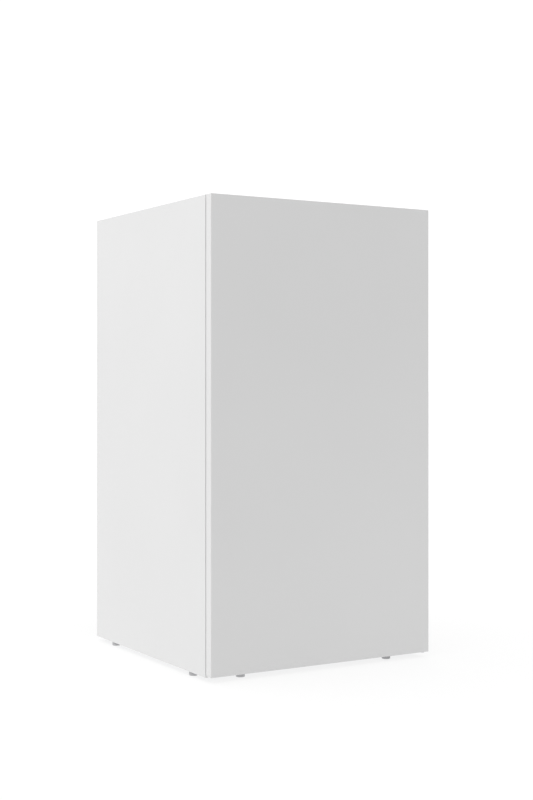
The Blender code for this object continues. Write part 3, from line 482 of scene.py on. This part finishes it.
def welded_mesh(data):
    """The mesh of a curve or text, with its caps joined on."""
    source = bpy.data.objects.new("source", data)
    bpy.context.scene.collection.objects.link(source)
    bpy.context.view_layer.update()
    evaluated = source.evaluated_get(bpy.context.evaluated_depsgraph_get())
    mesh_data = bmesh.new()
    mesh_data.from_mesh(bpy.data.meshes.new_from_object(evaluated))
    bpy.data.objects.remove(source)
    bmesh.ops.remove_doubles(mesh_data, verts=mesh_data.verts, dist=CAP_WELD)
    return mesh_data


def pipe(name, route, radius, body, slot, resolution=3):
    """A smooth round pipe along a list of points."""
    curve = bpy.data.curves.new(name, "CURVE")
    curve.dimensions = "3D"
    curve.bevel_depth = radius
    curve.bevel_resolution = resolution
    curve.use_fill_caps = True
    spline = curve.splines.new("POLY")
    spline.points.add(len(route) - 1)
    for point, place in zip(spline.points, route):
        point.co = (*place, 1.0)
    return mesh_piece(name, welded_mesh(curve), body, slot)


def bent(corners, radius, steps=8):
    """Round the inner corners of a route with arcs."""
    corners = [Vector(corner) for corner in corners]
    route = [corners[0]]
    for before, corner, after in zip(corners, corners[1:], corners[2:]):
        back = (before - corner).normalized()
        ahead = (after - corner).normalized()
        half = back.angle(ahead) / 2.0
        reach = radius / math.tan(half)
        centre = corner + (back + ahead).normalized() * (radius / math.sin(half))
        start = corner + back * reach - centre
        end = corner + ahead * reach - centre
        route += [centre + start.slerp(end, step / steps) * radius for step in range(steps + 1)]
    return route + [corners[-1]]


def aim(place, outward):
    """A matrix whose local Z points outward from a place."""
    turn = Vector((0.0, 0.0, 1.0)).rotation_difference(Vector(outward)).to_matrix().to_4x4()
    return Matrix.Translation(place) @ turn


def loop_edges(mesh_data, verts):
    """The closed loop of edges through some vertices, made where it is missing."""
    pairs = zip(verts, verts[1:] + verts[:1])
    return [mesh_data.edges.get(pair) or mesh_data.edges.new(pair) for pair in pairs]


def screw_head(mesh_data, place, outward, radius):
    """A pan head with a sunk cross, on a small washer."""
    matrix = aim(place, outward)
    seat, top, pit_floor = 0.05 * MM, 2.2 * MM, 1.1 * MM
    washer = 1.55 * radius
    arm, half, draft = 0.60 * radius, 0.16 * radius, 0.8
    rings = lathe(mesh_data, [
        (0.0, seat), (washer, seat), (washer, 0.6 * MM), (radius, 0.75 * MM),
        (radius, 1.3 * MM), (0.94 * radius, 1.8 * MM), (0.80 * radius, top),
    ], matrix, steps=24)
    cross = [
        (arm, -half), (arm, half), (half, half), (half, arm), (-half, arm), (-half, half),
        (-arm, half), (-arm, -half), (-half, -half), (-half, -arm), (half, -arm), (half, -half),
    ]
    rim = [mesh_data.verts.new(matrix @ Vector((x, y, top))) for x, y in cross]
    pit = [
        mesh_data.verts.new(matrix @ Vector((x * draft, y * draft, pit_floor)))
        for x, y in cross
    ]
    edges = loop_edges(mesh_data, rings[-1]) + loop_edges(mesh_data, rim)
    bmesh.ops.triangle_fill(mesh_data, edges=edges, use_beauty=True, use_dissolve=False)
    skin_rings(mesh_data, [rim, pit])
    mesh_data.faces.new(pit)


def screws(name, places, outward, radius):
    mesh_data = bmesh.new()
    for place in places:
        screw_head(mesh_data, place, outward, radius)
    mesh_piece(name, mesh_data, "cabinet", "zinc_sheet")


# ------------------------------------------------------------------ door seal

def door_seal():
    """Magnetic bellows seal: one moulded section, mitred round the four corners."""
    low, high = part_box("door_gasket")
    half = Vector(((high.x - low.x) / 2.0, 0.0, (high.z - low.z) / 2.0))
    middle = (low + high) / 2.0
    half_band = 6.0 * MM
    # Half of the section, in millimetres: out from its middle line, and depth.
    section = [
        (5.9, 0.0), (5.9, 1.1), (4.4, 1.7), (4.6, 2.8), (5.7, 4.1), (5.9, 5.0),
        (5.3, 6.0), (4.9, 6.7), (5.9, 7.6), (5.9, 9.2), (5.3, 9.9),
    ]
    section += [(-across, depth) for across, depth in reversed(section)]
    mesh_data = bmesh.new()
    corners = []
    for side_x, side_z in ((-1, -1), (1, -1), (1, 1), (-1, 1)):
        corners.append([
            mesh_data.verts.new((
                middle.x + side_x * (half.x - half_band + across * MM),
                low.y + depth * MM,
                middle.z + side_z * (half.z - half_band + across * MM),
            ))
            for across, depth in section
        ])
    skin_rings(mesh_data, corners + corners[:1])
    seal = mesh_piece("door_seal_bellows", mesh_data, "door", "gasket_rubber")
    round_edges(seal, 0.25)
    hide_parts("door_gasket")


# ------------------------------------------------------------------- back side

def condenser_pipe():
    """The pipe, to and fro down the back and into the drier, with round bends."""
    low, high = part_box("condenser_coil")
    drier_low, drier_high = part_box("filter_drier")
    radius = (high.y - low.y) / 2.0
    plane = (low.y + high.y) / 2.0
    top = high.z - radius
    steps = 20
    route = [Vector((high.x, plane, top))]
    for number in range(COIL_PASSES - 1):
        side = -1.0 if number % 2 == 0 else 1.0
        for step in range(steps + 1):
            turn = math.pi * step / steps
            route.append(Vector((
                side * (COIL_REACH + math.sin(turn) * COIL_PITCH / 2.0),
                plane,
                top - (number + 0.5) * COIL_PITCH + math.cos(turn) * COIL_PITCH / 2.0,
            )))
    drier_x = (drier_low.x + drier_high.x) / 2.0
    foot = top - (COIL_PASSES - 1) * COIL_PITCH
    tail = bent([route[-1], (drier_x, plane, foot), (drier_x, plane, low.z)], 10.0 * MM)
    coil = pipe("condenser_pipe", route + tail[1:], radius, "cabinet", "black_paint", 4)
    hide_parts("condenser_coil")


def condenser_wires():
    """Upright wires spot-welded to both sides of the pipe, but not over the brackets."""
    low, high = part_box("condenser_coil")
    bracket_low, bracket_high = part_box("condenser_bracket_left")
    bracket_x = -(bracket_low.x + bracket_high.x) / 2.0
    bracket_clearance = 11.0 * MM
    radius, pitch = 0.8 * MM, 7.5 * MM
    stand_off = radius * 0.9
    top = high.z + 8.0 * MM
    bottom = bracket_low.z + 4.0 * MM
    mesh_data = bmesh.new()
    for number in range(int(2.0 * COIL_REACH / pitch) + 1):
        x = -COIL_REACH + number * pitch
        rows = [high.y + stand_off]
        if abs(abs(x) - bracket_x) > bracket_clearance:
            rows.append(low.y - stand_off)
        for y in rows:
            bmesh.ops.create_cone(
                mesh_data, cap_ends=True, segments=8,
                radius1=radius, radius2=radius, depth=top - bottom,
                matrix=Matrix.Translation((x, y, (top + bottom) / 2.0)))
    mesh_piece("condenser_wires", mesh_data, "cabinet", "black_paint")


def back_screws():
    """Five down each side of the back panel, and two along its top."""
    low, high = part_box("back_panel")
    inset = 9.0 * MM
    top_row = 78.0 * MM
    gaps = 4
    pitch = (high.z - low.z - 2.0 * inset) / gaps
    places = [
        (side * (high.x - inset), high.y, low.z + inset + step * pitch)
        for side in (-1.0, 1.0) for step in range(gaps + 1)
    ]
    places += [(x, high.y, high.z - inset) for x in (-top_row, top_row)]
    screws("back_panel_screws", places, (0.0, 1.0, 0.0), 3.6 * MM)


def hinge_screws():
    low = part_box("bottom_hinge")[0]
    places = [(low.x + 12.0 * MM, y, low.z) for y in (-182.0 * MM, -206.0 * MM)]
    screws("bottom_hinge_screws", places, (0.0, 0.0, -1.0), 3.2 * MM)


def bracket_screws():
    inset = 5.0 * MM
    places = []
    for bracket in ("condenser_bracket_left", "condenser_bracket_right"):
        low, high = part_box(bracket)
        middle = (low.x + high.x) / 2.0
        places += [(middle, high.y, low.z + inset), (middle, high.y, high.z - inset)]
    screws("condenser_bracket_screws", places, (0.0, 1.0, 0.0), 2.6 * MM)


def capillary():
    """The fine pipe from the drier, wound twice and run up beside the suction line."""
    low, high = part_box("filter_drier")
    x, y = (low.x + high.x) / 2.0, (low.y + high.y) / 2.0
    winding = low.z - 8.0 * MM
    turns, steps = 2, 24
    ring, drift = 20.0 * MM, 4.0 * MM
    route = [Vector((x, y, low.z - 0.2 * MM)), Vector((x, y, winding))]
    for step in range(1, turns * steps + 1):
        angle = math.tau * step / steps
        route.append(Vector((
            x + ring * (1.0 - math.cos(angle)),
            y - drift * step / (turns * steps),
            winding - ring * math.sin(angle),
        )))
    rise_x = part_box("suction_line")[1].x - 9.2 * MM
    rise_y = 232.5 * MM
    crossing = 50.0 * MM
    slope = 30.0 * MM
    tail = bent([
        route[-1],
        (x, y - drift, 78.0 * MM),
        (x + slope, y - drift, crossing),
        (rise_x - slope, rise_y + 2.0 * MM, crossing),
        (rise_x, rise_y, 90.0 * MM),
        (rise_x, rise_y, 655.0 * MM),
        (rise_x + 4.5 * MM, rise_y - 4.5 * MM, 675.0 * MM),
    ], 8.0 * MM)
    pipe("capillary_tube", route + tail[1:], 1.1 * MM, "cabinet", "copper_pipe", 2)


def process_tube():
    """The crimped filling stub on the compressor."""
    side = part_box("compressor")[1].x - 22.0 * MM
    height = 92.0 * MM
    route = bent([
        (side - 9.0 * MM, 128.0 * MM, height),
        (side + 9.0 * MM, 120.0 * MM, height),
        (side + 16.0 * MM, 112.0 * MM, 128.0 * MM),
    ], 7.0 * MM)
    pipe("process_tube", route, 3.0 * MM, "cabinet", "copper_pipe")


# -------------------------------------------------------------------- interior

def evaporator_channels():
    """Raised refrigerant channels of the roll-bonded box, on its floor and roof."""
    low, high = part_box("evaporator")
    rise, width = 1.3 * MM, 4.0 * MM
    side_margin, end_margin = 26.0 * MM, 24.0 * MM
    sheet = 2.0 * MM
    lanes = 7
    breadth = high.x - low.x - 2.0 * side_margin
    front, rear = low.y + end_margin, high.y - end_margin
    for name, z in (("floor", low.z + sheet), ("roof", high.z - sheet)):
        corners = []
        for lane in range(lanes):
            x = low.x + side_margin + breadth * lane / (lanes - 1)
            ends = (front, rear) if lane % 2 == 0 else (rear, front)
            corners += [(x, y, z) for y in ends]
        route = bent(corners, 12.0 * MM, 5)
        channel = pipe(
            f"evaporator_channel_{name}", route, width, "cabinet", "evaporator_aluminium")
        for vertex in channel.data.vertices:
            vertex.co.z = z + (vertex.co.z - z) * rise / width


def rear_trims():
    """Strips at the rear edge of each shelf and the front edge of the crisper cover."""
    for shelf in ("shelf_upper", "shelf_lower"):
        low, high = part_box(shelf)
        trim(f"{shelf}_rear_trim", low, high, high.y, 1.0, 14.0 * MM)
    low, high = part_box("crisper_cover")
    trim("crisper_cover_trim", low, high, low.y, -1.0, 0.0)


def trim(name, low, high, edge, outward, upstand):
    """A U strip round the glass at y = edge, with or without a stop standing up from it."""
    skin, hold, clear = 1.6 * MM, 8.0 * MM, 0.15 * MM
    half_length = 190.0 * MM
    inner = edge - outward * hold
    face = edge + outward * clear
    outer = face + outward * skin
    bottom, top = low.z - clear, high.z + clear
    outline = [(inner, bottom), (inner, bottom - skin), (outer, bottom - skin)]
    if upstand:
        outline += [(y, top + skin + upstand) for y in (outer, face)] + [(face, top + skin)]
    else:
        outline.append((outer, top + skin))
    outline += [(inner, top + skin), (inner, top), (face, top), (face, bottom)]
    mesh_data = bmesh.new()
    ends = [
        [mesh_data.verts.new((x, y, z)) for y, z in outline]
        for x in (-half_length, half_length)
    ]
    skin_rings(mesh_data, ends)
    for end in ends:
        mesh_data.faces.new(end)
    round_edges(mesh_piece(name, mesh_data, "cabinet", "white_plastic", smooth=False), 0.4)


def dial_knob():
    """A fluted knob with a raised grip bar and a printed pointer."""
    low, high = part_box("thermostat_knob")
    centre = Vector((low.x, (low.y + high.y) / 2.0, (low.z + high.z) / 2.0))
    flutes, flute_depth = 24, 0.7 * MM
    fluted_from, fluted_to = 16.0 * MM, 17.8 * MM
    # Radius and height in millimetres: the skirt, and the stem behind it.
    profile = [
        (0.0, 4.3), (15.6, 4.3), (16.8, 4.7), (17.4, 5.6), (17.5, 12.6), (17.9, 13.3),
        (17.9, 13.6), (3.9, 13.6), (3.9, 25.8), (0.0, 25.8),
    ]

    def flute(radius, angle):
        if fluted_from < radius < fluted_to:
            return flute_depth * max(0.0, math.cos(angle * flutes)) ** 2
        return 0.0

    body, slot = "thermostat_knob_body", "white_plastic"
    knob_data = bmesh.new()
    lathe(knob_data, [(radius * MM, height * MM) for radius, height in profile],
          Matrix.Translation(centre) @ Matrix.Rotation(math.radians(90.0), 4, "Y"),
          steps=96, cut=flute)
    knob = mesh_piece("thermostat_dial_knob", knob_data, body, slot)
    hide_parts("thermostat_knob")

    half_width, half_length = 2.9 * MM, 15.2 * MM
    grip_data = bmesh.new()
    add_block(grip_data,
              (low.x + 0.1 * MM, centre.y - half_width, centre.z - half_length),
              (low.x + 4.8 * MM, centre.y + half_width, centre.z + half_length))
    grip = mesh_piece("thermostat_dial_grip", grip_data, body, slot, smooth=False)
    round_edges(grip, 1.1, 3)

    half_mark = 0.5 * MM
    mark_data = bmesh.new()
    add_block(mark_data,
              (low.x - 0.02 * MM, centre.y - half_mark, centre.z + 6.0 * MM),
              (low.x + 0.5 * MM, centre.y + half_mark, centre.z + 14.0 * MM))
    mark = mesh_piece(
        "thermostat_dial_pointer", mark_data, body, slot, DIAL_PRINT, smooth=False)
    round_edges(mark, 0.15)


def dial_scale():
    """Printed ticks and the numbers 0 to 5 round the knob."""
    low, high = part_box("thermostat_knob")
    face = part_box("thermostat_housing")[0].x
    centre = Vector((face, (low.y + high.y) / 2.0, (low.z + high.z) / 2.0))
    numbers = 6
    first, sweep = math.radians(90.0), math.radians(285.0)
    film = 0.12 * MM
    half_tick, tick_from, tick_to = 0.35 * MM, 19.5 * MM, 22.0 * MM
    number_size, number_reach = 7.0 * MM, 26.0 * MM
    # Text lies flat in XY; this stands it up, to be read looking along +X.
    upright = Matrix((
        (0.0, 0.0, -1.0, 0.0),
        (-1.0, 0.0, 0.0, 0.0),
        (0.0, 1.0, 0.0, 0.0),
        (0.0, 0.0, 0.0, 1.0),
    ))
    tick_data = bmesh.new()
    for number in range(numbers):
        angle = first - sweep * number / (numbers - 1)
        along = Vector((0.0, -math.cos(angle), math.sin(angle)))
        across = Vector((0.0, -math.sin(angle), -math.cos(angle)))
        tick = add_block(tick_data, (-film, -half_tick, tick_from), (0.0, half_tick, tick_to))
        turn = Matrix((
            (1.0, across.x, along.x, centre.x),
            (0.0, across.y, along.y, centre.y),
            (0.0, across.z, along.z, centre.z),
            (0.0, 0.0, 0.0, 1.0),
        ))
        bmesh.ops.transform(tick_data, matrix=turn, verts=tick)
        name = f"dial_number_{number}"
        digit = bpy.data.curves.new(name, "FONT")
        digit.body = str(number)
        digit.size = number_size
        digit.extrude = film / 2.0
        digit.align_x = "CENTER"
        digit.align_y = "CENTER"
        printed = welded_mesh(digit)
        place = centre + along * number_reach - Vector((film / 2.0, 0.0, 0.0))
        bmesh.ops.transform(
            printed, matrix=Matrix.Translation(place) @ upright, verts=printed.verts)
        mesh_piece(name, printed, "cabinet", "white_plastic", DIAL_PRINT, smooth=False)
    mesh_piece("dial_ticks", tick_data, "cabinet", "white_plastic", DIAL_PRINT, smooth=False)


def lamp_cap():
    """The threaded metal cap of the lamp."""
    low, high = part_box("lamp")
    x, z = (low.x + high.x) / 2.0, (low.z + high.z) / 2.0
    threads, points = 6, 4
    rim, length = 0.8 * MM, 15.0 * MM
    profile = [(0.0, 0.0), (5.4 * MM, 0.0)]
    for step in range(threads * points + 1):
        radius = (6.9 + 0.35 * math.cos(math.tau * step / points)) * MM
        profile.append((radius, rim + (length - rim) * step / (threads * points)))
    profile.append((0.0, length))
    mesh_data = bmesh.new()
    lathe(mesh_data, profile, aim((x, high.y + 0.1 * MM, z), (0.0, -1.0, 0.0)))
    mesh_piece("lamp_cap", mesh_data, "cabinet", "zinc_sheet")


def rack_ribs():
    """Upright strengthening ribs moulded on the room side of each door rack."""
    ribs, reach, half_width = 11, 120.0 * MM, 1.2 * MM
    sunk, proud = 0.6 * MM, 1.0 * MM
    above_floor, below_rim = 6.0 * MM, 17.0 * MM
    for rack in ("rack_bottle", "rack_middle", "rack_top"):
        low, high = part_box(rack)
        mesh_data = bmesh.new()
        for number in range(ribs):
            x = -reach + 2.0 * reach * number / (ribs - 1)
            add_block(mesh_data,
                      (x - half_width, high.y - sunk, low.z + above_floor),
                      (x + half_width, high.y + proud, high.z - below_rim))
        piece = mesh_piece(
            f"{rack}_ribs", mesh_data, f"{rack}_body", "clear_plastic", smooth=False)
        round_edges(piece, 0.5)


door_seal()
condenser_pipe()
condenser_wires()
back_screws()
hinge_screws()
bracket_screws()
capillary()
process_tube()
evaporator_channels()
rear_trims()
dial_knob()
dial_scale()
lamp_cap()
rack_ribs()


# ----------------------------------------------------- floor, light and camera

def floor():
    """A plain pale floor, lit from below like a photographer's table, so shadows are faint."""
    s = Surface("floor_look", FLOOR_COLOUR, 0.85, Specular_IOR_Level=0.0,
                Emission_Color=PURE_WHITE, Emission_Strength=FLOOR_GLOW)
    s.mottle(s.noise(1.5, 3.0), 0.98, 1.0)
    mesh_data = bmesh.new()
    bmesh.ops.create_grid(mesh_data, x_segments=1, y_segments=1, size=FLOOR_REACH)
    mesh = bpy.data.meshes.new("floor")
    mesh_data.to_mesh(mesh)
    mesh_data.free()
    mesh.materials.append(s.material)
    obj = bpy.data.objects.new("floor", mesh)
    obj.location.z = -FLOOR_DROP
    bpy.context.scene.collection.objects.link(obj)


def studio_light():
    """A soft surround, brighter above and to the left than in front, on a white ground."""
    world = bpy.data.worlds.new("studio")
    bpy.context.scene.world = world
    world.use_nodes = True
    add = world.node_tree.nodes.new
    wire = world.node_tree.links.new
    lean = add("ShaderNodeVectorMath")
    lean.operation = "DOT_PRODUCT"
    lean.inputs[1].default_value = SKY_LEAN
    wire(add("ShaderNodeTexCoord").outputs["Generated"], lean.inputs[0])
    level = add("ShaderNodeMath")
    level.inputs[1].default_value = SKY_LEVEL
    wire(lean.outputs["Value"], level.inputs[0])
    bright = add("ShaderNodeMath")
    bright.operation = "MAXIMUM"
    bright.inputs[1].default_value = SKY_LEAST
    wire(level.outputs[0], bright.inputs[0])
    sky = world.node_tree.nodes["Background"]
    sky.inputs["Color"].default_value = PURE_WHITE
    wire(bright.outputs[0], sky.inputs["Strength"])
    backdrop = add("ShaderNodeBackground")
    backdrop.inputs["Color"].default_value = PURE_WHITE
    backdrop.inputs["Strength"].default_value = BACKDROP_STRENGTH
    choose = add("ShaderNodeMixShader")
    wire(add("ShaderNodeLightPath").outputs["Is Camera Ray"], choose.inputs["Fac"])
    wire(sky.outputs[0], choose.inputs[1])
    wire(backdrop.outputs[0], choose.inputs[2])
    wire(choose.outputs[0], world.node_tree.nodes["World Output"].inputs["Surface"])


def camera():
    """Level, as in the photograph: uprights stay upright, and the shift frames them."""
    data = bpy.data.cameras.new("camera")
    data.lens = CAMERA_LENS
    data.sensor_width = CAMERA_SENSOR
    data.shift_y = CAMERA_SHIFT_Y
    data.clip_end = CAMERA_FAR
    obj = bpy.data.objects.new("camera", data)
    obj.location = CAMERA_PLACE
    obj.rotation_euler = (math.radians(90.0), 0.0, CAMERA_HEADING)
    bpy.context.scene.collection.objects.link(obj)
    bpy.context.scene.camera = obj


floor()
studio_light()
camera()
bpy.context.scene.view_settings.view_transform = "Standard"
